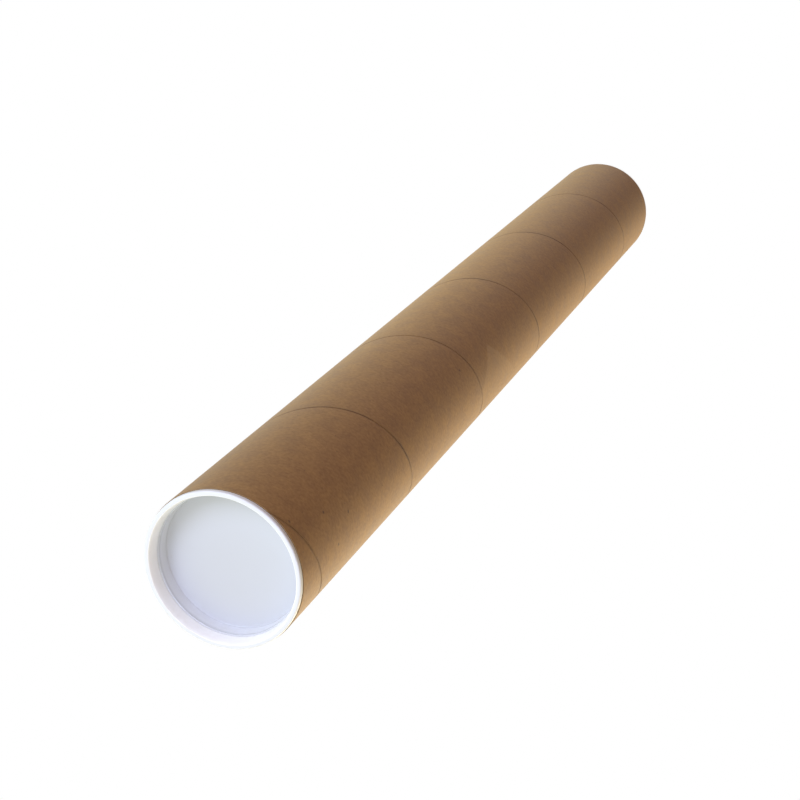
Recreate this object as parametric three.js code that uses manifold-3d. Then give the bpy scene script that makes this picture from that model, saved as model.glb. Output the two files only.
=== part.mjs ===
// Kraft mailing tube with a recessed push-in plug in each end.
// Millimetres, +Z up. The tube stands on its lower plug, with the origin at the centre of that plug's face.

import * as THREE from 'three';
import * as BufferGeometryUtils from 'three/addons/utils/BufferGeometryUtils.js';
import Module from 'manifold-3d';

// Overall sizes
const OVERALL_LENGTH = 700;
const TUBE_OUTER_RADIUS = 38;
const TUBE_WALL = 2.5;

// Outermost paper ply: a strip wound in a right-handed spiral, its edges meeting in a butt seam
const PLY_WIDTH = 107;
const SEAM_WIDTH = 0.7;
const SEAM_FLOOR_WIDTH = 0.4;
const SEAM_DEPTH = 0.35;
// How far the seam lies below the upper paper edge where it crosses the front of the tube
const SEAM_START_DEPTH = 1.8;

// Plug flange, which covers the paper edge
const FLANGE_RADIUS = 37.7;
const FLANGE_THICKNESS = 2.2;
const FLANGE_OUTER_ROUND = 0.8;
const FLANGE_SEAT_GAP = 0.3;

// Plug skirt, which tapers a little towards its lower end so that it starts easily in the bore
const SKIRT_TOP_RADIUS = 35.2;
const SKIRT_END_RADIUS = 34.9;
const SKIRT_LENGTH = 12.6;
const SKIRT_END_ROUND = 1.2;

// Lip of the plug's recess, dished from the flange's face down to a narrow ledge. Depths here and below
// are counted from that face.
const LIP_TOP_RADIUS = 35.8;
const LIP_BEND_RADIUS = 34.9;
const LIP_END_RADIUS = 34.2;
const LIP_DEPTH = 6.4;
const LEDGE_DROP = 0.2;

// Recess under the ledge, with a slightly crowned floor
const RECESS_TOP_RADIUS = 33.7;
const RECESS_FLOOR_RADIUS = 33.4;
const RECESS_DEPTH = 13.3;
const RECESS_FILLET = 0.9;
const FLOOR_CROWN = 0.8;

// Facets round the axis, and along each rounded edge
const TUBE_SIDES = 96;
const PLUG_SIDES = 72;
const ROUND_STEPS = 3;
const LIP_STEPS = 4;
const FLOOR_RINGS = 3;

const TUBE_LOW = FLANGE_THICKNESS + FLANGE_SEAT_GAP;
const TUBE_HIGH = OVERALL_LENGTH - TUBE_LOW;
const BORE_RADIUS = TUBE_OUTER_RADIUS - TUBE_WALL;
const WINDING_ANGLE = Math.asin(PLY_WIDTH / (2 * Math.PI * TUBE_OUTER_RADIUS));
const SEAM_PITCH = PLY_WIDTH / Math.cos(WINDING_ANGLE);
const FRONT_ANGLE = -Math.PI / 2;

const kraft = new THREE.MeshStandardMaterial({ color: 0x9c7650, roughness: 0.85, metalness: 0 });
const whitePlastic = new THREE.MeshStandardMaterial({ color: 0xe9eef5, roughness: 0.38, metalness: 0 });

const wasm = await Module();
wasm.setup();

// A closed geometry as a solid that can be cut
function toSolid(geometry) {
  const bare = geometry.clone();
  bare.deleteAttribute('normal');
  bare.deleteAttribute('uv');
  const merged = BufferGeometryUtils.mergeVertices(bare);
  return new wasm.Manifold(new wasm.Mesh({
    numProp: 3,
    vertProperties: new Float32Array(merged.attributes.position.array),
    triVerts: new Uint32Array(merged.index.array),
  }));
}

// A cut solid back as a geometry
function toGeometry(solid) {
  const mesh = solid.getMesh();
  const geometry = new THREE.BufferGeometry();
  geometry.setAttribute('position', new THREE.BufferAttribute(new Float32Array(mesh.vertProperties), 3));
  geometry.setIndex(new THREE.BufferAttribute(new Uint32Array(mesh.triVerts), 1));
  geometry.computeVertexNormals();
  return geometry;
}

// A profile of [radius, height] points, listed against the clock, turned round the Z axis
function turned(profile, sides) {
  const points = profile.map(([radius, height]) => new THREE.Vector2(radius, height));
  return new THREE.LatheGeometry(points, sides).rotateX(Math.PI / 2);
}

// Points of a quarter round about a centre, from one angle to another in degrees
function quarterRound([centreRadius, centreHeight], size, from, to) {
  const points = [];
  for (let step = 0; step <= ROUND_STEPS; step += 1) {
    const angle = THREE.MathUtils.degToRad(from + (to - from) * step / ROUND_STEPS);
    points.push([centreRadius + size * Math.cos(angle), centreHeight + size * Math.sin(angle)]);
  }
  return points;
}

// Points of the lip's curve, from the flange's face to the ledge
function lipCurve() {
  const curve = new THREE.QuadraticBezierCurve(
    new THREE.Vector2(LIP_TOP_RADIUS, FLANGE_THICKNESS),
    new THREE.Vector2(LIP_BEND_RADIUS, FLANGE_THICKNESS),
    new THREE.Vector2(LIP_END_RADIUS, FLANGE_THICKNESS - LIP_DEPTH),
  );
  return curve.getPoints(LIP_STEPS).map(({ x, y }) => [x, y]);
}

// Points of the crowned floor, from near its fillet to the axis
function crownedFloor(edgeRadius, edgeHeight) {
  const points = [];
  for (let ring = 1; ring <= FLOOR_RINGS; ring += 1) {
    const share = 1 - ring / FLOOR_RINGS;
    points.push([edgeRadius * share, edgeHeight + FLOOR_CROWN * (1 - share * share)]);
  }
  return points;
}

// A solid rod whose skin is the wound ply. Its rows of points follow the spiral from the floor of the seam
// across the ply to the seam's floor one turn up, where they meet the first row of that turn.
function woundRod(turns, startHeight) {
  const floorRadius = TUBE_OUTER_RADIUS - SEAM_DEPTH;
  const rows = [
    { rise: -SEAM_FLOOR_WIDTH / 2, radius: floorRadius },
    { rise: SEAM_FLOOR_WIDTH / 2, radius: floorRadius },
    { rise: SEAM_WIDTH / 2, radius: TUBE_OUTER_RADIUS },
    { rise: SEAM_PITCH - SEAM_WIDTH / 2, radius: TUBE_OUTER_RADIUS },
  ];
  const steps = turns * TUBE_SIDES;
  const positions = [];
  for (let step = 0; step <= steps + TUBE_SIDES; step += 1) {
    const angle = FRONT_ANGLE + 2 * Math.PI * step / TUBE_SIDES;
    const height = startHeight + SEAM_PITCH * step / TUBE_SIDES;
    for (const { rise, radius } of rows) {
      positions.push(radius * Math.cos(angle), radius * Math.sin(angle), height + rise);
    }
  }
  const lowHub = positions.length / 3;
  const highHub = lowHub + 1;
  positions.push(0, 0, startHeight);
  positions.push(0, 0, startHeight + SEAM_PITCH * (turns + 1));

  const pointAt = (step, row) => (step + TUBE_SIDES * Math.floor(row / rows.length)) * rows.length
    + row % rows.length;
  const faces = [];
  for (let row = 0; row < rows.length; row += 1) {
    for (let step = 0; step < steps; step += 1) {
      const here = pointAt(step, row);
      const above = pointAt(step, row + 1);
      const next = pointAt(step + 1, row);
      const nextAbove = pointAt(step + 1, row + 1);
      faces.push(here, next, nextAbove, here, nextAbove, above);
    }
    faces.push(lowHub, pointAt(0, row), pointAt(0, row + 1));
    faces.push(highHub, pointAt(steps, row + 1), pointAt(steps, row));
  }
  for (let step = 0; step < TUBE_SIDES; step += 1) {
    faces.push(lowHub, pointAt(step + 1, 0), pointAt(step, 0));
    faces.push(highHub, pointAt(steps + step, 0), pointAt(steps + step + 1, 0));
  }
  const geometry = new THREE.BufferGeometry();
  geometry.setAttribute('position', new THREE.Float32BufferAttribute(positions, 3));
  geometry.setIndex(faces);
  return geometry;
}

// The wound tube, bored and cut square at both ends
function tubeGeometry() {
  const topSeam = TUBE_HIGH - SEAM_START_DEPTH;
  const turnsDown = Math.ceil((topSeam - TUBE_LOW) / SEAM_PITCH) + 1;
  const rod = woundRod(turnsDown + 1, topSeam - turnsDown * SEAM_PITCH);
  const clearRadius = TUBE_OUTER_RADIUS + TUBE_WALL;
  const wall = turned([
    [BORE_RADIUS, TUBE_LOW],
    [clearRadius, TUBE_LOW],
    [clearRadius, TUBE_HIGH],
    [BORE_RADIUS, TUBE_HIGH],
    [BORE_RADIUS, TUBE_LOW],
  ], TUBE_SIDES);
  return toGeometry(toSolid(rod).intersect(toSolid(wall)));
}

// One moulded plug, the underside of its flange at height 0 and its recess opening upwards
function plugGeometry() {
  const floorTop = FLANGE_THICKNESS - RECESS_DEPTH;
  const skirtCorner = [SKIRT_END_RADIUS - SKIRT_END_ROUND, SKIRT_END_ROUND - SKIRT_LENGTH];
  const flangeRim = [FLANGE_RADIUS - FLANGE_OUTER_ROUND, FLANGE_THICKNESS - FLANGE_OUTER_ROUND];
  const recessCorner = [RECESS_FLOOR_RADIUS - RECESS_FILLET, floorTop + RECESS_FILLET];
  return turned([
    [0, -SKIRT_LENGTH],
    ...quarterRound(skirtCorner, SKIRT_END_ROUND, -90, 0),
    [SKIRT_TOP_RADIUS, 0],
    [FLANGE_RADIUS, 0],
    ...quarterRound(flangeRim, FLANGE_OUTER_ROUND, 0, 90),
    ...lipCurve(),
    [RECESS_TOP_RADIUS, FLANGE_THICKNESS - LIP_DEPTH - LEDGE_DROP],
    ...quarterRound(recessCorner, RECESS_FILLET, 0, -90),
    ...crownedFloor(recessCorner[0], floorTop),
  ], PLUG_SIDES);
}

function part(name, geometry, material) {
  const mesh = new THREE.Mesh(geometry, material);
  mesh.name = name;
  return mesh;
}

const tube = part('tube', tubeGeometry(), kraft);

const topPlug = part('top_plug', plugGeometry(), whitePlastic.clone());
topPlug.position.z = OVERALL_LENGTH - FLANGE_THICKNESS;

// The lower plug is the same moulding turned over
const bottomPlug = part('bottom_plug', plugGeometry(), whitePlastic.clone());
bottomPlug.rotation.x = Math.PI;
bottomPlug.position.z = FLANGE_THICKNESS;

const mailingTube = new THREE.Group();
mailingTube.add(tube, topPlug, bottomPlug);

export default mailingTube;
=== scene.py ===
from math import asin, ceil, cos, pi, radians, sin

import bpy
from mathutils import Matrix, Vector


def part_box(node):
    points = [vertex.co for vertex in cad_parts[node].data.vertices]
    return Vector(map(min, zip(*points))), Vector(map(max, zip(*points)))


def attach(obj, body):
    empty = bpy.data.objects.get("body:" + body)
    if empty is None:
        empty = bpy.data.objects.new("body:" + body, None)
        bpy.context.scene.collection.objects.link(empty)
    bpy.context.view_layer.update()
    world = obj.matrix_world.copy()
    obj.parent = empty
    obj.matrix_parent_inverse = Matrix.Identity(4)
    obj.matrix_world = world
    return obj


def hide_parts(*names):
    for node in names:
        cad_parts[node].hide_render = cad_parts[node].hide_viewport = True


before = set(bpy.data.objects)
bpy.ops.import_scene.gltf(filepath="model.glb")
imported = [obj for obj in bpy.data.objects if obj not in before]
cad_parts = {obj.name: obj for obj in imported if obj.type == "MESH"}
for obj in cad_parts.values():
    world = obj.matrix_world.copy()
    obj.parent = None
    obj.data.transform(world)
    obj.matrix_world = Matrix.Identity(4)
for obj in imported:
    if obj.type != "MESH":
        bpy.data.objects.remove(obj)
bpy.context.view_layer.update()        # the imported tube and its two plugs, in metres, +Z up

tubeLow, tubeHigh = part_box("tube")
topPlugLow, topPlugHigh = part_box("top_plug")


def linearColour(hexColour):
    # sRGB hex to the linear values that the shaders take
    channels = [int(hexColour[place:place + 2], 16) / 255 for place in (1, 3, 5)]
    curved = [c / 12.92 if c <= 0.04045 else ((c + 0.055) / 1.055) ** 2.4 for c in channels]
    return (*curved, 1.0)


def addNode(tree, kind, settings=None, inputs=None):
    # a node, or its first output, can be given as an input to link it
    node = tree.nodes.new(kind)
    for name, value in (settings or {}).items():
        setattr(node, name, value)
    for socket, value in (inputs or {}).items():
        if isinstance(value, bpy.types.Node):
            value = value.outputs[0]
        if isinstance(value, bpy.types.NodeSocket):
            tree.links.new(value, node.inputs[socket])
        else:
            node.inputs[socket].default_value = value
    return node


def newMaterial(name):
    material = bpy.data.materials.new(name)
    material.use_nodes = True
    material.node_tree.nodes.clear()
    return material


# Camera, placed against the upper end of the tube as the photograph's was
view = {
    "lens": 75.56,              # in mm, like the sensor
    "sensor": 36,
    "inFront": 0.4384,          # from the axis, towards -Y
    "aboveTubeEnd": 0.5962,
    "lookDown": 61.96,          # degrees below the horizon
    "roll": -133.66,            # turns the upright tube to the slant that it lies at in the picture
    "imageSize": 800,
    "pixelsRight": 0.5,         # how far the picture's contents are shifted
    "pixelsDown": 0.5,
    "nearest": 0.05,            # what the camera sees starts and ends here
    "furthest": 50,
}


def addCamera():
    camera = bpy.data.objects.new("camera", bpy.data.cameras.new("camera"))
    bpy.context.scene.collection.objects.link(camera)
    camera.data.sensor_width = view["sensor"]
    camera.data.lens = view["lens"]
    camera.data.shift_x = -view["pixelsRight"] / view["imageSize"]
    camera.data.shift_y = view["pixelsDown"] / view["imageSize"]
    camera.data.clip_start = view["nearest"]
    camera.data.clip_end = view["furthest"]
    tilt = Matrix.Rotation(radians(90 - view["lookDown"]), 4, "X")
    roll = Matrix.Rotation(radians(view["roll"]), 4, "Z")
    place = Matrix.Translation((0, -view["inFront"], tubeHigh.z + view["aboveTubeEnd"]))
    camera.matrix_world = place @ tilt @ roll
    bpy.context.scene.camera = camera


addCamera()
print("camera placed")


# Wound tube: the outermost ply is a strip wound right-handed, with a butt seam between its edges
tube = {
    "outerRadius": tubeHigh.x,
    "wall": 0.0025,
    "low": tubeLow.z,
    "high": tubeHigh.z,
    "plyWidth": 0.107,
    "seamWidth": 0.0007,
    "seamFloor": 0.0004,
    "seamDepth": 0.00035,
    "seamStart": 0.0018,        # below the upper paper edge, on the front line
    "columns": 192,
    "rowsPerTurn": 36,
    "wallRows": 8,
    "crowding": 7.5,            # how strongly the rows crowd towards the seam
    "skinSlack": 0.00001,       # what lies within this of the outer radius is skin
    "mergeDistance": 0.000002,  # closes the joins of the rolled sheets
    "cornerAngle": 60,          # degrees, from which an edge is a crisp corner
    "sawnFacing": 0.9,          # the upright share of the normal, from which a face is a sawn end
}
windingAngle = asin(tube["plyWidth"] / (2 * pi * tube["outerRadius"]))
seamPitch = tube["plyWidth"] / cos(windingAngle)
seamDatum = tube["high"] - tube["seamStart"]
frontTurn = -0.25               # in turns from +X: the front of the tube faces -Y


# Kraft liner paper, machine finished: unbleached brown fibre with soft cloudy formation, fine
# streaks along the strip, sparse dark shives and a pale sheen at a low angle
kraft = {
    "pale": "#A67E44",
    "brown": "#89602B",
    "cloudSize": 0.009,         # clouds of denser and thinner fibre
    "flocSize": 0.0018,         # flocs within them
    "fibreLength": 0.003,       # single fibres, combed along the strip
    "fibreWidth": 0.0005,       # far thicker than real ones, which are too fine to show
    "fibreShare": 0.5,          # weight of the fibres beside the clouds and flocs
    "shive": "#3E2A18",         # dark splinters of bark
    "shiveSpacing": 0.009,
    "shiveRadius": 0.0003,
    "shiveEdge": (1.4, 0.5),    # in radii, the outside and inside of its soft edge
    "shiveChance": 0.45,        # places with a lower random value have no shive
    "shiveStrength": 0.8,
    "seamDustAndShadow": "#553A20",      # dust in the butt seam, and painted shadow along it
    "seamReach": 0.0015,        # from the middle of the seam to where the shade ends
    "seamPatch": 0.02,          # length over which the shade comes and goes
    "seamNoise": (0.38, 0.62),  # from where the shade is faintest to where it is strongest
    "seamStrength": (0.2, 0.75),
    "paleMarkColour": "#BFA27C",
    "toneNoise": (0.95, 1.55),  # the three noises added up, from brown to pale
    "glossNoise": (0.3, 0.7),   # the clouds' noise, from glossier to duller
    "roughness": 0.6,
    "roughnessSpread": 0.06,
    "sheen": 0.15,
    "relief": 0.00006,
    "reliefStrength": 0.25,
}
# A pale corner-shaped patch on the front of the tube, given by its tip and its two straight sides
paleMark = {
    "tipArc": 0.0101,           # round the skin from the front line, towards -X
    "tipHeight": 0.416,
    "lowSide": 33.7,            # degrees that each side turns away from the line of the axis
    "highSide": 42.3,
    "softness": 0.0016,
    "raggedSize": 1 / 300,      # of the waves in its sides, 3.3 mm
    "fade": 0.034,
    "strength": 0.35,
}
# The larger dark specks on the front, by degrees from the front line towards -X and by height
specks = {
    "places": ((6.9, 0.691), (18.8, 0.6636), (46.5, 0.6575), (32, 0.642), (16, 0.465)),
    "radius": 0.0008,
    "edge": (1.3, 0.5),         # in radii, as for the shives
    "strength": 0.7,
}


def stripCoordinates(tree):
    # the skin unrolled into the paper strip: x runs along the strip, y across it from seam to seam
    place = addNode(tree, "ShaderNodeTexCoord").outputs["Object"]
    split = addNode(tree, "ShaderNodeSeparateXYZ", {}, {0: place})
    polar = addNode(tree, "ShaderNodeMath", {"operation": "ARCTAN2"}, {
        0: split.outputs[1], 1: split.outputs[0]})
    turn = addNode(tree, "ShaderNodeMath", {"operation": "MULTIPLY_ADD"}, {
        0: polar, 1: 0.5 / pi, 2: -frontTurn})
    rise = addNode(tree, "ShaderNodeMath", {"operation": "SUBTRACT"}, {0: split.outputs[2], 1: seamDatum})
    lift = addNode(tree, "ShaderNodeMath", {"operation": "DIVIDE"}, {0: rise, 1: seamPitch})
    phase = addNode(tree, "ShaderNodeMath", {"operation": "SUBTRACT"}, {0: lift, 1: turn})
    whole = addNode(tree, "ShaderNodeMath", {"operation": "FLOOR"}, {0: phase})
    part = addNode(tree, "ShaderNodeMath", {"operation": "FRACT"}, {0: phase})
    wound = addNode(tree, "ShaderNodeMath", {"operation": "ADD"}, {0: turn, 1: whole})
    girth = 2 * pi * tube["outerRadius"] * cos(windingAngle)
    climb = addNode(tree, "ShaderNodeMath", {"operation": "MULTIPLY"}, {0: rise, 1: sin(windingAngle)})
    along = addNode(tree, "ShaderNodeMath", {"operation": "MULTIPLY_ADD"}, {0: wound, 1: girth, 2: climb})
    across = addNode(tree, "ShaderNodeMath", {"operation": "MULTIPLY"}, {0: part, 1: tube["plyWidth"]})
    strip = addNode(tree, "ShaderNodeCombineXYZ", {}, {0: along, 1: across})
    return {"place": place, "split": split, "turn": turn, "strip": strip, "across": across}


def paleMarkMask(tree, skin):
    # 1 inside the pale corner and fading away from its tip
    arc = addNode(tree, "ShaderNodeMath", {"operation": "MULTIPLY_ADD"}, {
        0: skin["turn"], 1: -2 * pi * tube["outerRadius"], 2: -paleMark["tipArc"]})
    lift = addNode(tree, "ShaderNodeMath", {"operation": "SUBTRACT"}, {
        0: skin["split"].outputs[2], 1: paleMark["tipHeight"]})
    wobble = addNode(tree, "ShaderNodeTexNoise", {}, {
        "Vector": skin["strip"], "Scale": 1 / paleMark["raggedSize"], "Detail": 2.0})
    ragged = addNode(tree, "ShaderNodeMath", {"operation": "MULTIPLY_ADD"}, {
        0: wobble, 1: paleMark["softness"], 2: -paleMark["softness"] / 2})
    sides = []
    for side, sign in (("highSide", -1), ("lowSide", 1)):
        angle = radians(paleMark[side])
        across = addNode(tree, "ShaderNodeMath", {"operation": "MULTIPLY_ADD"}, {
            0: arc, 1: cos(angle), 2: ragged})
        inside = addNode(tree, "ShaderNodeMath", {"operation": "MULTIPLY_ADD"}, {
            0: lift, 1: sign * sin(angle), 2: across})
        sides.append(addNode(tree, "ShaderNodeMapRange", {"interpolation_type": "SMOOTHSTEP"}, {
            "Value": inside, "From Min": 0.0, "From Max": paleMark["softness"]}))
    corner = addNode(tree, "ShaderNodeMath", {"operation": "MULTIPLY"}, {0: sides[0], 1: sides[1]})
    faded = addNode(tree, "ShaderNodeMapRange", {}, {
        "Value": arc, "From Max": paleMark["fade"], "To Min": paleMark["strength"], "To Max": 0.0})
    return addNode(tree, "ShaderNodeMath", {"operation": "MULTIPLY"}, {0: corner, 1: faded})


def darkSpecks(tree, skin):
    # sparse small shives all over, and the larger ones in their places
    cells = addNode(tree, "ShaderNodeTexVoronoi", {"voronoi_dimensions": "2D"}, {
        "Vector": skin["strip"], "Scale": 1 / kraft["shiveSpacing"]})
    small = kraft["shiveRadius"] / kraft["shiveSpacing"]
    outside, inside = kraft["shiveEdge"]
    spots = addNode(tree, "ShaderNodeMapRange", {}, {
        "Value": cells.outputs["Distance"], "From Min": small * outside, "From Max": small * inside})
    chance = addNode(tree, "ShaderNodeSeparateColor", {}, {0: cells.outputs["Color"]})
    strength = addNode(tree, "ShaderNodeMapRange", {}, {
        "Value": chance.outputs[0], "From Min": kraft["shiveChance"], "From Max": 1.0,
        "To Max": kraft["shiveStrength"]})
    found = addNode(tree, "ShaderNodeMath", {"operation": "MULTIPLY"}, {0: spots, 1: strength})
    outside, inside = specks["edge"]
    for degrees, height in specks["places"]:
        angle = radians(degrees)
        spot = (-tube["outerRadius"] * sin(angle), -tube["outerRadius"] * cos(angle), height)
        away = addNode(tree, "ShaderNodeVectorMath", {"operation": "DISTANCE"}, {0: skin["place"], 1: spot})
        large = addNode(tree, "ShaderNodeMapRange", {}, {
            "Value": away.outputs["Value"], "From Min": specks["radius"] * outside,
            "From Max": specks["radius"] * inside, "To Max": specks["strength"]})
        found = addNode(tree, "ShaderNodeMath", {"operation": "MAXIMUM"}, {0: found, 1: large})
    return found


def seamShade(tree, skin):
    # the seam's dark line, stronger in some places than in others
    half = tube["plyWidth"] / 2
    fromMiddle = addNode(tree, "ShaderNodeMath", {"operation": "SUBTRACT"}, {0: skin["across"], 1: half})
    reach = addNode(tree, "ShaderNodeMath", {"operation": "ABSOLUTE"}, {0: fromMiddle})
    line = addNode(tree, "ShaderNodeMapRange", {"interpolation_type": "SMOOTHSTEP"}, {
        "Value": reach, "From Min": half - kraft["seamReach"], "From Max": half - tube["seamFloor"] / 2})
    patches = addNode(tree, "ShaderNodeTexNoise", {}, {
        "Vector": skin["strip"], "Scale": 1 / kraft["seamPatch"], "Detail": 3.0, "Roughness": 0.65})
    uneven = addNode(tree, "ShaderNodeMapRange", {}, {
        "Value": patches, "From Min": kraft["seamNoise"][0], "From Max": kraft["seamNoise"][1],
        "To Min": kraft["seamStrength"][0], "To Max": kraft["seamStrength"][1]})
    return addNode(tree, "ShaderNodeMath", {"operation": "MULTIPLY"}, {0: line, 1: uneven})


def kraftMaterial():
    material = newMaterial("kraftLiner")
    tree = material.node_tree
    skin = stripCoordinates(tree)
    cloud = addNode(tree, "ShaderNodeTexNoise", {}, {
        "Vector": skin["strip"], "Scale": 1 / kraft["cloudSize"], "Detail": 3.0, "Roughness": 0.6})
    floc = addNode(tree, "ShaderNodeTexNoise", {}, {
        "Vector": skin["strip"], "Scale": 1 / kraft["flocSize"], "Detail": 2.0, "Roughness": 0.55})
    stretch = (1 / kraft["fibreLength"], 1 / kraft["fibreWidth"], 1)
    combed = addNode(tree, "ShaderNodeMapping", {}, {"Vector": skin["strip"], "Scale": stretch})
    fibre = addNode(tree, "ShaderNodeTexNoise", {}, {"Vector": combed, "Scale": 1.0, "Detail": 3.0})
    mottle = addNode(tree, "ShaderNodeMath", {"operation": "ADD"}, {0: cloud, 1: floc})
    texture = addNode(tree, "ShaderNodeMath", {"operation": "MULTIPLY_ADD"}, {
        0: fibre, 1: kraft["fibreShare"], 2: mottle})
    tone = addNode(tree, "ShaderNodeMapRange", {}, {
        "Value": texture, "From Min": kraft["toneNoise"][0], "From Max": kraft["toneNoise"][1]})
    paper = addNode(tree, "ShaderNodeMix", {"data_type": "RGBA"}, {
        0: tone, 6: linearColour(kraft["brown"]), 7: linearColour(kraft["pale"])})
    marked = addNode(tree, "ShaderNodeMix", {"data_type": "RGBA"}, {
        0: paleMarkMask(tree, skin), 6: paper.outputs[2], 7: linearColour(kraft["paleMarkColour"])})
    specked = addNode(tree, "ShaderNodeMix", {"data_type": "RGBA"}, {
        0: darkSpecks(tree, skin), 6: marked.outputs[2], 7: linearColour(kraft["shive"])})
    seamed = addNode(tree, "ShaderNodeMix", {"data_type": "RGBA"}, {
        0: seamShade(tree, skin), 6: specked.outputs[2], 7: linearColour(kraft["seamDustAndShadow"])})
    gloss = addNode(tree, "ShaderNodeMapRange", {}, {
        "Value": cloud, "From Min": kraft["glossNoise"][0], "From Max": kraft["glossNoise"][1],
        "To Min": kraft["roughness"] - kraft["roughnessSpread"],
        "To Max": kraft["roughness"] + kraft["roughnessSpread"]})
    bump = addNode(tree, "ShaderNodeBump", {}, {
        "Strength": kraft["reliefStrength"], "Distance": kraft["relief"], "Height": texture})
    surface = addNode(tree, "ShaderNodeBsdfPrincipled", {}, {
        "Base Color": seamed.outputs[2], "Roughness": gloss, "Sheen Weight": kraft["sheen"],
        "Normal": bump})
    addNode(tree, "ShaderNodeOutputMaterial", {}, {"Surface": surface})
    return material


# Sawn paper board: greyer and rougher than the liner, its glued plies showing as fine rings
cutEdge = {
    "light": "#A58A66",
    "dark": "#6F5639",
    "plyThickness": 0.00042,    # six plies in the wall
    "fuzzSize": 1 / 900,        # of the tufts that the saw pulls up, 1.1 mm
    "fray": 0.6,                # how far they blur the rings, in plies
    "toneStep": (0.05, 0.3),    # the dark glue line in each ply, in plies
    "roughness": 0.92,
    "relief": 0.0001,
    "reliefStrength": 0.5,
}


def cutEdgeMaterial():
    material = newMaterial("sawnBoardEdge")
    tree = material.node_tree
    place = addNode(tree, "ShaderNodeTexCoord").outputs["Object"]
    split = addNode(tree, "ShaderNodeSeparateXYZ", {}, {0: place})
    flat = addNode(tree, "ShaderNodeCombineXYZ", {}, {0: split.outputs[0], 1: split.outputs[1]})
    radius = addNode(tree, "ShaderNodeVectorMath", {"operation": "LENGTH"}, {0: flat})
    fuzz = addNode(tree, "ShaderNodeTexNoise", {}, {
        "Vector": place, "Scale": 1 / cutEdge["fuzzSize"], "Detail": 3.0})
    plies = addNode(tree, "ShaderNodeMath", {"operation": "DIVIDE"}, {
        0: radius.outputs["Value"], 1: cutEdge["plyThickness"]})
    frayed = addNode(tree, "ShaderNodeMath", {"operation": "MULTIPLY_ADD"}, {
        0: fuzz, 1: cutEdge["fray"], 2: plies})
    ring = addNode(tree, "ShaderNodeMath", {"operation": "PINGPONG"}, {0: frayed, 1: 0.5})    # half a ply
    tone = addNode(tree, "ShaderNodeMapRange", {}, {
        "Value": ring, "From Min": cutEdge["toneStep"][0], "From Max": cutEdge["toneStep"][1]})
    board = addNode(tree, "ShaderNodeMix", {"data_type": "RGBA"}, {
        0: tone, 6: linearColour(cutEdge["dark"]), 7: linearColour(cutEdge["light"])})
    bump = addNode(tree, "ShaderNodeBump", {}, {
        "Strength": cutEdge["reliefStrength"], "Distance": cutEdge["relief"], "Height": frayed})
    surface = addNode(tree, "ShaderNodeBsdfPrincipled", {}, {
        "Base Color": board.outputs[2], "Roughness": cutEdge["roughness"], "Normal": bump})
    addNode(tree, "ShaderNodeOutputMaterial", {}, {"Surface": surface})
    return material


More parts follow.
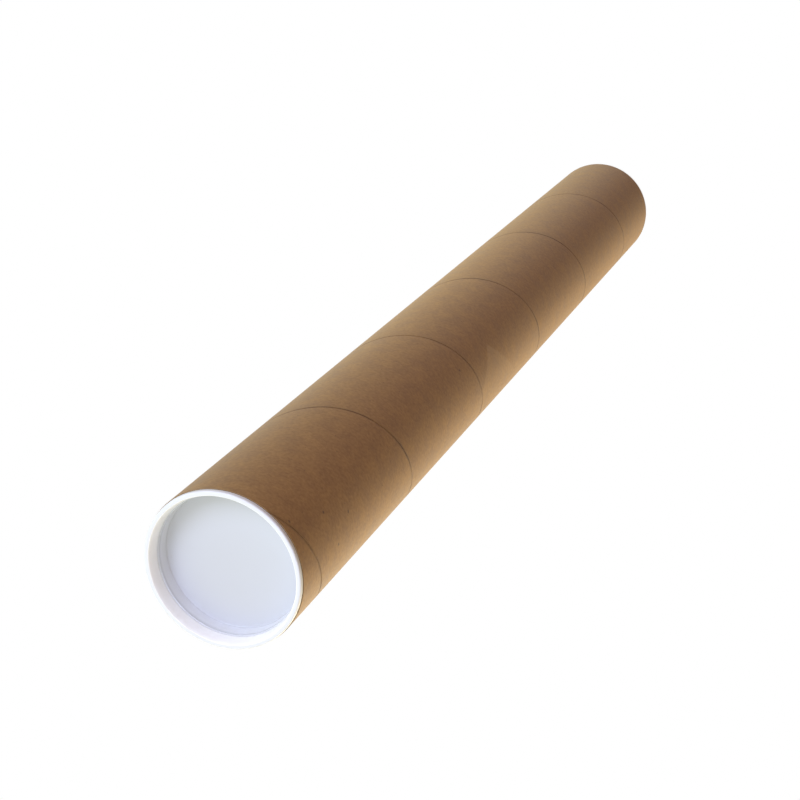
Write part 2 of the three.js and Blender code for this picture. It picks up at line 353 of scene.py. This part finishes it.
def woundTubeTree():
    tree = bpy.data.node_groups.new("woundTube", "GeometryNodeTree")
    sizes = ("Outer Radius", "Wall", "Low End", "High End", "Seam Pitch", "Seam Datum", "Seam Width",
             "Seam Floor", "Seam Depth", "Crowding")
    for name in sizes:
        tree.interface.new_socket(name=name, in_out="INPUT", socket_type="NodeSocketFloat")
    for name in ("Columns", "Turns", "Rows Per Turn", "Wall Rows"):
        tree.interface.new_socket(name=name, in_out="INPUT", socket_type="NodeSocketInt")
    for name in ("Paper", "Cut Edge"):
        tree.interface.new_socket(name=name, in_out="INPUT", socket_type="NodeSocketMaterial")
    tree.interface.new_socket(name="Tube", in_out="OUTPUT", socket_type="NodeSocketGeometry")
    given = addNode(tree, "NodeGroupInput").outputs

    # a unit grid's places, from 0 to 1 round the tube and along it
    unit = addNode(tree, "ShaderNodeVectorMath", {"operation": "ADD"}, {
        0: addNode(tree, "GeometryNodeInputPosition"), 1: (0.5, 0.5, 0)})
    unitSplit = addNode(tree, "ShaderNodeSeparateXYZ", {}, {0: unit})
    around, run = unitSplit.outputs[0], unitSplit.outputs[1]
    columnPoints = addNode(tree, "ShaderNodeMath", {"operation": "ADD"}, {0: given["Columns"], 1: 1})

    # skin: rows that follow the seam, crowded towards it, and stop at the two cut ends
    rows = addNode(tree, "ShaderNodeMath", {"operation": "MULTIPLY_ADD"}, {
        0: given["Turns"], 1: given["Rows Per Turn"], 2: 1})
    skinGrid = addNode(tree, "GeometryNodeMeshGrid", {}, {
        "Size X": 1, "Size Y": 1, "Vertices X": columnPoints, "Vertices Y": rows})
    wound = addNode(tree, "ShaderNodeMath", {"operation": "MULTIPLY"}, {0: run, 1: given["Turns"]})
    turnNumber = addNode(tree, "ShaderNodeMath", {"operation": "FLOOR"}, {0: wound})
    fromSeam = addNode(tree, "ShaderNodeMath", {"operation": "FRACT"}, {0: wound})
    centred = addNode(tree, "ShaderNodeMath", {"operation": "MULTIPLY_ADD"}, {0: fromSeam, 1: 2, 2: -1})
    side = addNode(tree, "ShaderNodeMath", {"operation": "SIGN"}, {0: centred})
    reach = addNode(tree, "ShaderNodeMath", {"operation": "ABSOLUTE"}, {0: centred})
    growth = addNode(tree, "ShaderNodeMath", {"operation": "MULTIPLY"}, {0: reach, 1: given["Crowding"]})
    grown = addNode(tree, "ShaderNodeMath", {"operation": "EXPONENT"}, {0: growth})
    fullyGrown = addNode(tree, "ShaderNodeMath", {"operation": "EXPONENT"}, {0: given["Crowding"]})
    crowded = addNode(tree, "ShaderNodeMapRange", {}, {
        "Value": grown, "From Min": 1.0, "From Max": fullyGrown, "To Min": 0.0, "To Max": 0.5})
    halfTurns = addNode(tree, "ShaderNodeMath", {"operation": "MULTIPLY_ADD"}, {
        0: crowded, 1: side, 2: turnNumber})
    climbed = addNode(tree, "ShaderNodeMath", {"operation": "ADD"}, {0: halfTurns, 1: around})
    topTurn = addNode(tree, "ShaderNodeMath", {"operation": "SUBTRACT"}, {0: given["Turns"], 1: 1})
    below = addNode(tree, "ShaderNodeMath", {"operation": "SUBTRACT"}, {0: climbed, 1: topTurn})
    height = addNode(tree, "ShaderNodeMath", {"operation": "MULTIPLY_ADD"}, {
        0: below, 1: given["Seam Pitch"], 2: given["Seam Datum"]})
    notLower = addNode(tree, "ShaderNodeMath", {"operation": "MAXIMUM"}, {0: height, 1: given["Low End"]})
    between = addNode(tree, "ShaderNodeMath", {"operation": "MINIMUM"}, {0: notLower, 1: given["High End"]})
    skinPlace = addNode(tree, "ShaderNodeCombineXYZ", {}, {0: around, 1: between, 2: given["Outer Radius"]})
    skin = addNode(tree, "GeometryNodeSetPosition", {}, {"Geometry": skinGrid, "Position": skinPlace})

    # cut ends and bore: in along the lower end, up the bore and out along the upper end
    wallRows = addNode(tree, "ShaderNodeMath", {"operation": "MULTIPLY_ADD"}, {
        0: given["Wall Rows"], 1: 3, 2: 1})
    boreGrid = addNode(tree, "GeometryNodeMeshGrid", {}, {
        "Size X": 1, "Size Y": 1, "Vertices X": columnPoints, "Vertices Y": wallRows})
    inward = addNode(tree, "ShaderNodeMapRange", {}, {
        "Value": run, "From Min": 0.0, "From Max": 1 / 3})
    upward = addNode(tree, "ShaderNodeMapRange", {}, {
        "Value": run, "From Min": 1 / 3, "From Max": 2 / 3,
        "To Min": given["Low End"], "To Max": given["High End"]})
    outward = addNode(tree, "ShaderNodeMapRange", {}, {
        "Value": run, "From Min": 2 / 3, "From Max": 1.0})
    inset = addNode(tree, "ShaderNodeMath", {"operation": "SUBTRACT"}, {0: inward, 1: outward})
    thinned = addNode(tree, "ShaderNodeMath", {"operation": "MULTIPLY"}, {0: inset, 1: given["Wall"]})
    boreRadius = addNode(tree, "ShaderNodeMath", {"operation": "SUBTRACT"}, {
        0: given["Outer Radius"], 1: thinned})
    borePlace = addNode(tree, "ShaderNodeCombineXYZ", {}, {0: around, 1: upward, 2: boreRadius})
    boreFlat = addNode(tree, "GeometryNodeSetPosition", {}, {"Geometry": boreGrid, "Position": borePlace})
    bore = addNode(tree, "GeometryNodeFlipFaces", {}, {"Mesh": boreFlat})
    flat = addNode(tree, "GeometryNodeJoinGeometry")
    for sheet in (skin, bore):
        tree.links.new(sheet.outputs[0], flat.inputs[0])

    # seam groove, cut into whatever lies at the outer radius
    flatPlace = addNode(tree, "GeometryNodeInputPosition")
    flatSplit = addNode(tree, "ShaderNodeSeparateXYZ", {}, {0: flatPlace})
    flatTurn, flatHeight, flatRadius = flatSplit.outputs
    rise = addNode(tree, "ShaderNodeMath", {"operation": "SUBTRACT"}, {
        0: flatHeight, 1: given["Seam Datum"]})
    turnsUp = addNode(tree, "ShaderNodeMath", {"operation": "DIVIDE"}, {0: rise, 1: given["Seam Pitch"]})
    phase = addNode(tree, "ShaderNodeMath", {"operation": "SUBTRACT"}, {0: turnsUp, 1: flatTurn})
    nearest = addNode(tree, "ShaderNodeMath", {"operation": "ROUND"}, {0: phase})
    offPhase = addNode(tree, "ShaderNodeMath", {"operation": "SUBTRACT"}, {0: phase, 1: nearest})
    offTurns = addNode(tree, "ShaderNodeMath", {"operation": "ABSOLUTE"}, {0: offPhase})
    offSeam = addNode(tree, "ShaderNodeMath", {"operation": "MULTIPLY"}, {
        0: offTurns, 1: given["Seam Pitch"]})
    halfFloor = addNode(tree, "ShaderNodeMath", {"operation": "MULTIPLY"}, {0: given["Seam Floor"], 1: 0.5})
    halfSeam = addNode(tree, "ShaderNodeMath", {"operation": "MULTIPLY"}, {0: given["Seam Width"], 1: 0.5})
    groove = addNode(tree, "ShaderNodeMapRange", {"interpolation_type": "SMOOTHSTEP"}, {
        "Value": offSeam, "From Min": halfFloor, "From Max": halfSeam,
        "To Min": given["Seam Depth"], "To Max": 0.0})
    slack = addNode(tree, "ShaderNodeMath", {"operation": "SUBTRACT"}, {
        0: given["Outer Radius"], 1: tube["skinSlack"]})
    onSkin = addNode(tree, "ShaderNodeMath", {"operation": "GREATER_THAN"}, {0: flatRadius, 1: slack})
    cut = addNode(tree, "ShaderNodeMath", {"operation": "MULTIPLY"}, {0: groove, 1: onSkin})
    radius = addNode(tree, "ShaderNodeMath", {"operation": "SUBTRACT"}, {0: flatRadius, 1: cut})

    # rolled up round the axis
    polar = addNode(tree, "ShaderNodeMath", {"operation": "ADD"}, {0: flatTurn, 1: frontTurn})
    angle = addNode(tree, "ShaderNodeMath", {"operation": "MULTIPLY"}, {0: polar, 1: 2 * pi})
    cosine = addNode(tree, "ShaderNodeMath", {"operation": "COSINE"}, {0: angle})
    sine = addNode(tree, "ShaderNodeMath", {"operation": "SINE"}, {0: angle})
    sideways = addNode(tree, "ShaderNodeMath", {"operation": "MULTIPLY"}, {0: cosine, 1: radius})
    forward = addNode(tree, "ShaderNodeMath", {"operation": "MULTIPLY"}, {0: sine, 1: radius})
    rolledPlace = addNode(tree, "ShaderNodeCombineXYZ", {}, {0: sideways, 1: forward, 2: flatHeight})
    rolled = addNode(tree, "GeometryNodeSetPosition", {}, {"Geometry": flat, "Position": rolledPlace})
    closed = addNode(tree, "GeometryNodeMergeByDistance", {}, {
        "Geometry": rolled, "Distance": tube["mergeDistance"]})

    # smooth skin with crisp corners, and the sawn ends in a finish of their own
    smooth = addNode(tree, "GeometryNodeSetShadeSmooth", {"domain": "FACE"}, {"Geometry": closed})
    fold = addNode(tree, "GeometryNodeInputMeshEdgeAngle")
    corner = addNode(tree, "ShaderNodeMath", {"operation": "GREATER_THAN"}, {
        0: fold, 1: radians(tube["cornerAngle"])})
    crisp = addNode(tree, "GeometryNodeSetShadeSmooth", {"domain": "EDGE"}, {
        "Geometry": smooth, "Selection": corner, "Shade Smooth": False})
    real = addNode(tree, "GeometryNodeRealizeInstances", {}, {"Geometry": crisp})
    papered = addNode(tree, "GeometryNodeSetMaterial", {}, {"Geometry": real, "Material": given["Paper"]})
    normal = addNode(tree, "GeometryNodeInputNormal")
    facing = addNode(tree, "ShaderNodeSeparateXYZ", {}, {0: normal})
    upright = addNode(tree, "ShaderNodeMath", {"operation": "ABSOLUTE"}, {0: facing.outputs[2]})
    sawn = addNode(tree, "ShaderNodeMath", {"operation": "GREATER_THAN"}, {
        0: upright, 1: tube["sawnFacing"]})
    finished = addNode(tree, "GeometryNodeSetMaterial", {}, {
        "Geometry": papered, "Selection": sawn, "Material": given["Cut Edge"]})
    addNode(tree, "NodeGroupOutput", {}, {"Tube": finished})
    return tree


def plainMesh(name, tree, values):
    # runs a geometry tree once and keeps its result as an ordinary mesh
    maker = bpy.data.objects.new(name, bpy.data.meshes.new(name + "Maker"))
    bpy.context.scene.collection.objects.link(maker)
    modifier = maker.modifiers.new("maker", "NODES")
    modifier.node_group = tree
    for socket in tree.interface.items_tree:
        if socket.in_out == "INPUT":
            modifier[socket.identifier] = values[socket.name]
    made = maker.evaluated_get(bpy.context.evaluated_depsgraph_get())
    mesh = bpy.data.meshes.new_from_object(made)
    maker.modifiers.remove(modifier)
    maker.data = mesh
    return maker


def makeTube():
    # two more turns than the tube holds, because the rows climb a whole turn as they go round
    turns = ceil((tube["high"] - tube["low"]) / seamPitch) + 2
    piece = plainMesh("kraft_tube", woundTubeTree(), {
        "Outer Radius": tube["outerRadius"], "Wall": tube["wall"], "Low End": tube["low"],
        "High End": tube["high"], "Seam Pitch": seamPitch, "Seam Datum": seamDatum,
        "Seam Width": tube["seamWidth"], "Seam Floor": tube["seamFloor"], "Seam Depth": tube["seamDepth"],
        "Crowding": tube["crowding"], "Columns": tube["columns"], "Turns": turns,
        "Rows Per Turn": tube["rowsPerTurn"], "Wall Rows": tube["wallRows"],
        "Paper": kraftMaterial(), "Cut Edge": cutEdgeMaterial()})
    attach(piece, "tube")
    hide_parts("tube")


makeTube()
print("tube wound")


# Recessed end plug, moulded in low-density polyethylene. Heights are counted from the flange's underside.
plug = {
    "flangeRadius": topPlugHigh.x,
    "flangeThickness": 0.0022,
    "flangeOuterRound": 0.0008,
    "lipTop": 0.0358,           # the recess opens in a dished lip, which ends in a narrow ledge
    "lipBend": 0.0349,
    "lipEnd": 0.0342,
    "lipDepth": 0.0064,
    "ledgeDrop": 0.0002,
    "skirtTop": 0.0352,
    "skirtEnd": 0.0349,
    "skirtEndRound": 0.0012,
    "recessTop": 0.0337,
    "recessFloor": 0.0334,
    "recessDepth": 0.0133,
    "recessFillet": 0.0009,
    "floorCrown": 0.0008,
    "segments": 160,
    "roundSteps": 7,
    "lipSteps": 16,
    "floorRings": 14,
}
plug["skirtLength"] = topPlugHigh.z - topPlugLow.z - plug["flangeThickness"]

# Low-density polyethylene off a polished mould: bluish white with a waxy satin gloss. Its tones are painted
# light and shade on one white: the floor is painted greyer than the thick rim, as the recess's shade and
# the light lost through the thin floor into the dark tube. The tones go outwards from the axis, each with
# the radius at which it ends.
plastic = {
    "web": "#C9CCD3",           # the floor, painted greyer as shade in the recess
    "webRadius": 0.0334,
    "wall": "#E5E8EE",          # the upright side of the recess, painted grey as shade
    "wallRadius": 0.0337,
    "ledge": "#CED1D8",         # a sharp step in the mould, painted darker as shade over the light it catches
    "ledgeRadius": 0.03428,
    "lip": "#FFFFFF",           # the dished lip, painted pure white as a highlight
    "lipRadius": 0.0358,
    "face": "#E4E7ED",          # the flange's face, painted a little darker as shade
    "edge": 0.0001,             # width over which one tone runs into the next
    "roughness": 0.36,
    "ior": 1.51,
    "flowSize": 0.012,          # slight waviness of the cooled surface
    "flowDepth": 0.00005,
    "flowStrength": 0.4,
}


def plasticMaterial():
    material = newMaterial("mouldedPolyethylene")
    tree = material.node_tree
    place = addNode(tree, "ShaderNodeTexCoord").outputs["Object"]
    split = addNode(tree, "ShaderNodeSeparateXYZ", {}, {0: place})
    flat = addNode(tree, "ShaderNodeCombineXYZ", {}, {0: split.outputs[0], 1: split.outputs[1]})
    radius = addNode(tree, "ShaderNodeVectorMath", {"operation": "LENGTH"}, {0: flat})
    white = linearColour(plastic["web"])
    # each painted tone of light and shade starts where the one inside it ends
    for zone, inner in (("wall", "web"), ("ledge", "wall"), ("lip", "ledge"), ("face", "lip")):
        start = plastic[inner + "Radius"]
        beyond = addNode(tree, "ShaderNodeMapRange", {}, {
            "Value": radius.outputs["Value"], "From Min": start - plastic["edge"], "From Max": start})
        white = addNode(tree, "ShaderNodeMix", {"data_type": "RGBA"}, {
            0: beyond, 6: white, 7: linearColour(plastic[zone])}).outputs[2]
    flow = addNode(tree, "ShaderNodeTexNoise", {}, {
        "Vector": place, "Scale": 1 / plastic["flowSize"], "Detail": 1.0})
    bump = addNode(tree, "ShaderNodeBump", {}, {
        "Strength": plastic["flowStrength"], "Distance": plastic["flowDepth"], "Height": flow})
    surface = addNode(tree, "ShaderNodeBsdfPrincipled", {}, {
        "Base Color": white, "Roughness": plastic["roughness"], "IOR": plastic["ior"], "Normal": bump})
    addNode(tree, "ShaderNodeOutputMaterial", {}, {"Surface": surface})
    return material


def roundPoints(centre, size, start, end):
    points = []
    for step in range(plug["roundSteps"] + 1):
        angle = radians(start + (end - start) * step / plug["roundSteps"])
        points.append((centre[0] + size * cos(angle), centre[1] + size * sin(angle)))
    return points


def plugProfile():
    # radius and height from the axis under the floor, round the skirt and flange, to the axis on the floor
    p = plug
    floorTop = p["flangeThickness"] - p["recessDepth"]
    skirtCorner = (p["skirtEnd"] - p["skirtEndRound"], p["skirtEndRound"] - p["skirtLength"])
    rim = (p["flangeRadius"] - p["flangeOuterRound"], p["flangeThickness"] - p["flangeOuterRound"])
    ledge = p["flangeThickness"] - p["lipDepth"]
    corner = (p["recessFloor"] - p["recessFillet"], floorTop + p["recessFillet"])
    profile = [(0, -p["skirtLength"])]
    profile += roundPoints(skirtCorner, p["skirtEndRound"], -90, 0)
    profile += [(p["skirtTop"], 0), (p["flangeRadius"], 0)]
    profile += roundPoints(rim, p["flangeOuterRound"], 0, 90)
    for step in range(p["lipSteps"] + 1):
        share = step / p["lipSteps"]
        bend = (1 - share) ** 2 * p["lipTop"] + 2 * share * (1 - share) * p["lipBend"]
        height = p["flangeThickness"] - share ** 2 * p["lipDepth"]
        profile.append((bend + share ** 2 * p["lipEnd"], height))
    profile.append((p["recessTop"], ledge - p["ledgeDrop"]))
    profile += roundPoints(corner, p["recessFillet"], 0, -90)
    for ring in range(1, p["floorRings"] + 1):
        share = 1 - ring / p["floorRings"]
        profile.append((corner[0] * share, floorTop + p["floorCrown"] * (1 - share * share)))
    return profile


sharpAngle = 40                 # degrees, from which a turned edge is a crisp corner


def turnedMesh(name, profile, segments, place):
    # the profile turned round the axis, with one point where it meets the axis
    points = []
    rings = []
    for radius, height in profile:
        count = segments if radius > 0 else 1
        rings.append([len(points) + step for step in range(count)])
        for step in range(count):
            angle = 2 * pi * step / segments
            points.append(place @ Vector((radius * cos(angle), radius * sin(angle), height)))
    faces = []
    for low, high in zip(rings, rings[1:]):
        for step in range(segments):
            after = (step + 1) % segments
            lower = [low[step % len(low)], low[after % len(low)]]
            upper = [high[after % len(high)], high[step % len(high)]]
            faces.append(list(dict.fromkeys(lower + upper)))    # a face at the axis has three corners
    mesh = bpy.data.meshes.new(name)
    mesh.from_pydata(points, [], faces)
    mesh.shade_smooth()
    mesh.set_sharp_from_angle(angle=radians(sharpAngle))
    return mesh


def makePlug(name, node, body, material, place):
    piece = bpy.data.objects.new(name, turnedMesh(name, plugProfile(), plug["segments"], place))
    bpy.context.scene.collection.objects.link(piece)
    piece.data.materials.append(material)
    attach(piece, body)
    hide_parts(node)


def makePlugs():
    material = plasticMaterial()
    seat = topPlugHigh.z - plug["flangeThickness"]
    makePlug("upper_end_plug", "top_plug", "top_plug", material, Matrix.Translation((0, 0, seat)))
    turned = Matrix.Translation((0, 0, plug["flangeThickness"])) @ Matrix.Rotation(pi, 4, "X")
    makePlug("lower_end_plug", "bottom_plug", "bottom_plug", material, turned)


makePlugs()
print("plugs turned")


# Studio: a white sweep, surroundings bright behind the tube and dim and warm before it, and soft boxes
studio = {
    "floorRadius": 2.6,
    "wallHeight": 3.2,
    "sweepRadius": 1.4,         # of the curve from the floor into the wall
    "sweepSteps": 24,
    "sweepSegments": 96,
    "sweepColour": "#FFFFFF",
    "sweepGlow": 1.0,
    "front": "#FFBB80",
    "frontGlow": 0.24,
    "back": "#FCFFE8",
    "backGlow": 0.98,
    "frontEnds": -0.8,          # by direction, from -1 straight in front to 1 straight behind
    "backStarts": 0.4,
}
softBoxes = {
    "upperKey": {
        "place": (1.1, -0.45, 2.0), "aim": (0, 0, 0.7), "size": (0.9, 0.9),
        "power": 21.4, "colour": "#D4DEFF"},
    "farSide": {                # aims down, so that it fades from the tube's foot to its upper end
        "place": (0.6, 0.05, 0.45), "aim": (0.2, 0.05, -0.65), "size": (0.35, 0.35),
        "power": 3.6, "colour": "#F0FFFF"},
    "warmSide": {
        "place": (-1.3, 0.6, 0.1), "aim": (0, 0, 0.35), "size": (0.9, 1.6),
        "power": 26, "colour": "#FFEAC6"},
    "top": {
        "place": (0, -0.5, 2.4), "aim": (0, 0, 0.7), "size": (0.8, 0.8),
        "power": 8.2, "colour": "#E4E9FF"},
}


def addSurroundings():
    world = bpy.data.worlds.new("surroundings")
    world.use_nodes = True
    tree = world.node_tree
    tree.nodes.clear()
    direction = addNode(tree, "ShaderNodeTexCoord").outputs["Generated"]
    split = addNode(tree, "ShaderNodeSeparateXYZ", {}, {0: direction})
    rearward = addNode(tree, "ShaderNodeMapRange", {"interpolation_type": "SMOOTHSTEP"}, {
        "Value": split.outputs[1], "From Min": studio["frontEnds"], "From Max": studio["backStarts"]})
    before = addNode(tree, "ShaderNodeBackground", {}, {
        "Color": linearColour(studio["front"]), "Strength": studio["frontGlow"]})
    behind = addNode(tree, "ShaderNodeBackground", {}, {
        "Color": linearColour(studio["back"]), "Strength": studio["backGlow"]})
    both = addNode(tree, "ShaderNodeMixShader", {}, {0: rearward, 1: before, 2: behind})
    addNode(tree, "ShaderNodeOutputWorld", {}, {"Surface": both})
    bpy.context.scene.world = world


def addSweep():
    # seen by the camera alone, so that it neither lights the tube nor shows in its gloss
    bend = studio["sweepRadius"]
    outline = [(0.0, 0.0)]
    for step in range(studio["sweepSteps"] + 1):
        angle = radians(90 * step / studio["sweepSteps"])
        outline.append((studio["floorRadius"] - bend + bend * sin(angle), bend - bend * cos(angle)))
    outline.append((studio["floorRadius"], studio["wallHeight"]))
    mesh = turnedMesh("studio_sweep", outline, studio["sweepSegments"], Matrix.Identity(4))
    sweep = bpy.data.objects.new("studio_sweep", mesh)
    bpy.context.scene.collection.objects.link(sweep)
    material = newMaterial("litPaperSweep")
    tree = material.node_tree
    glow = addNode(tree, "ShaderNodeEmission", {}, {
        "Color": linearColour(studio["sweepColour"]), "Strength": studio["sweepGlow"]})
    addNode(tree, "ShaderNodeOutputMaterial", {}, {"Surface": glow})
    sweep.data.materials.append(material)
    sweep.visible_diffuse = False
    sweep.visible_glossy = False
    sweep.visible_shadow = False


def addSoftBox(name, box):
    lamp = bpy.data.lights.new(name, "AREA")
    lamp.shape = "RECTANGLE"
    lamp.size, lamp.size_y = box["size"]
    lamp.energy = box["power"]
    lamp.color = linearColour(box["colour"])[:3]
    holder = bpy.data.objects.new(name, lamp)
    bpy.context.scene.collection.objects.link(holder)
    holder.visible_camera = False
    holder.location = box["place"]
    towards = Vector(box["aim"]) - Vector(box["place"])
    holder.rotation_euler = towards.to_track_quat("-Z", "Y").to_euler()


addSurroundings()
addSweep()
for boxName, boxValues in softBoxes.items():
    addSoftBox(boxName, boxValues)
bpy.context.scene.view_settings.view_transform = "Standard"
print("studio lit")
